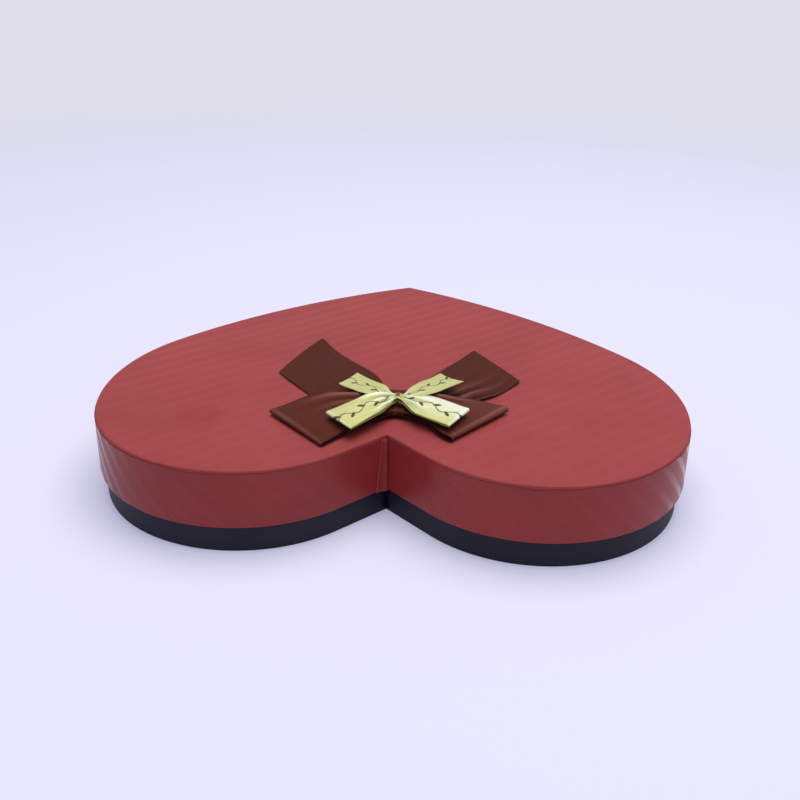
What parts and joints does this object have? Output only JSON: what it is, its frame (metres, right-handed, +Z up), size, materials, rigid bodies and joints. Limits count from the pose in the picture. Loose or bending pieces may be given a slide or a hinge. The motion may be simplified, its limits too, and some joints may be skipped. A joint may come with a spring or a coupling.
{
  "type": "heart-shaped gift box",
  "caption": "Heart-shaped paper-covered gift box with a deep lift-off lid, a dark base and a double satin ribbon bow on the lid.",
  "frame": {"origin": "middle of the bounding box, on the surface the box stands on", "axes": "+X to the box's right seen from the cleft, +Y from the cleft to the tip, +Z up out of the lid"},
  "size_m": [0.25, 0.204, 0.0455],
  "materials": {
    "red_paper": "striped, alternate satin and matt bands",
    "black_paper": "matt",
    "lining_paper": "matt",
    "grey_board": "raw",
    "brown_satin": "satin",
    "yellow_satin": "satin",
    "gold_tie": "metallic",
    "glue": "satin"
  },
  "bodies": {
    "base": {"base_bottom_sheet": "black_paper", "base_bottom_board": "grey_board", "base_wall_left": "grey_board", "base_wall_right": "grey_board", "base_side_wrap": "black_paper", "base_floor_lining": "lining_paper", "base_wall_lining": "lining_paper"},
    "lid": {"lid_top_board": "grey_board", "lid_wall_left": "grey_board", "lid_wall_right": "grey_board", "lid_top_wrap": "red_paper", "lid_side_wrap": "red_paper", "lid_lining": "lining_paper", "lid_cleft_strip": "red_paper", "brown_tail_ribbon": "brown_satin", "brown_loop_ribbon": "brown_satin", "brown_centre_band": "brown_satin", "yellow_tail_ribbon": "yellow_satin", "yellow_loop_ribbon": "yellow_satin", "yellow_tie": "gold_tie", "brown_glue_dab": "glue", "yellow_glue_dab": "glue"}
  },
  "joints": [
    {"name": "lid_lift", "type": "slide", "parent": "base", "child": "lid", "axis": [0, 0, 1], "range_m": [0, 0.15]}
  ]
}
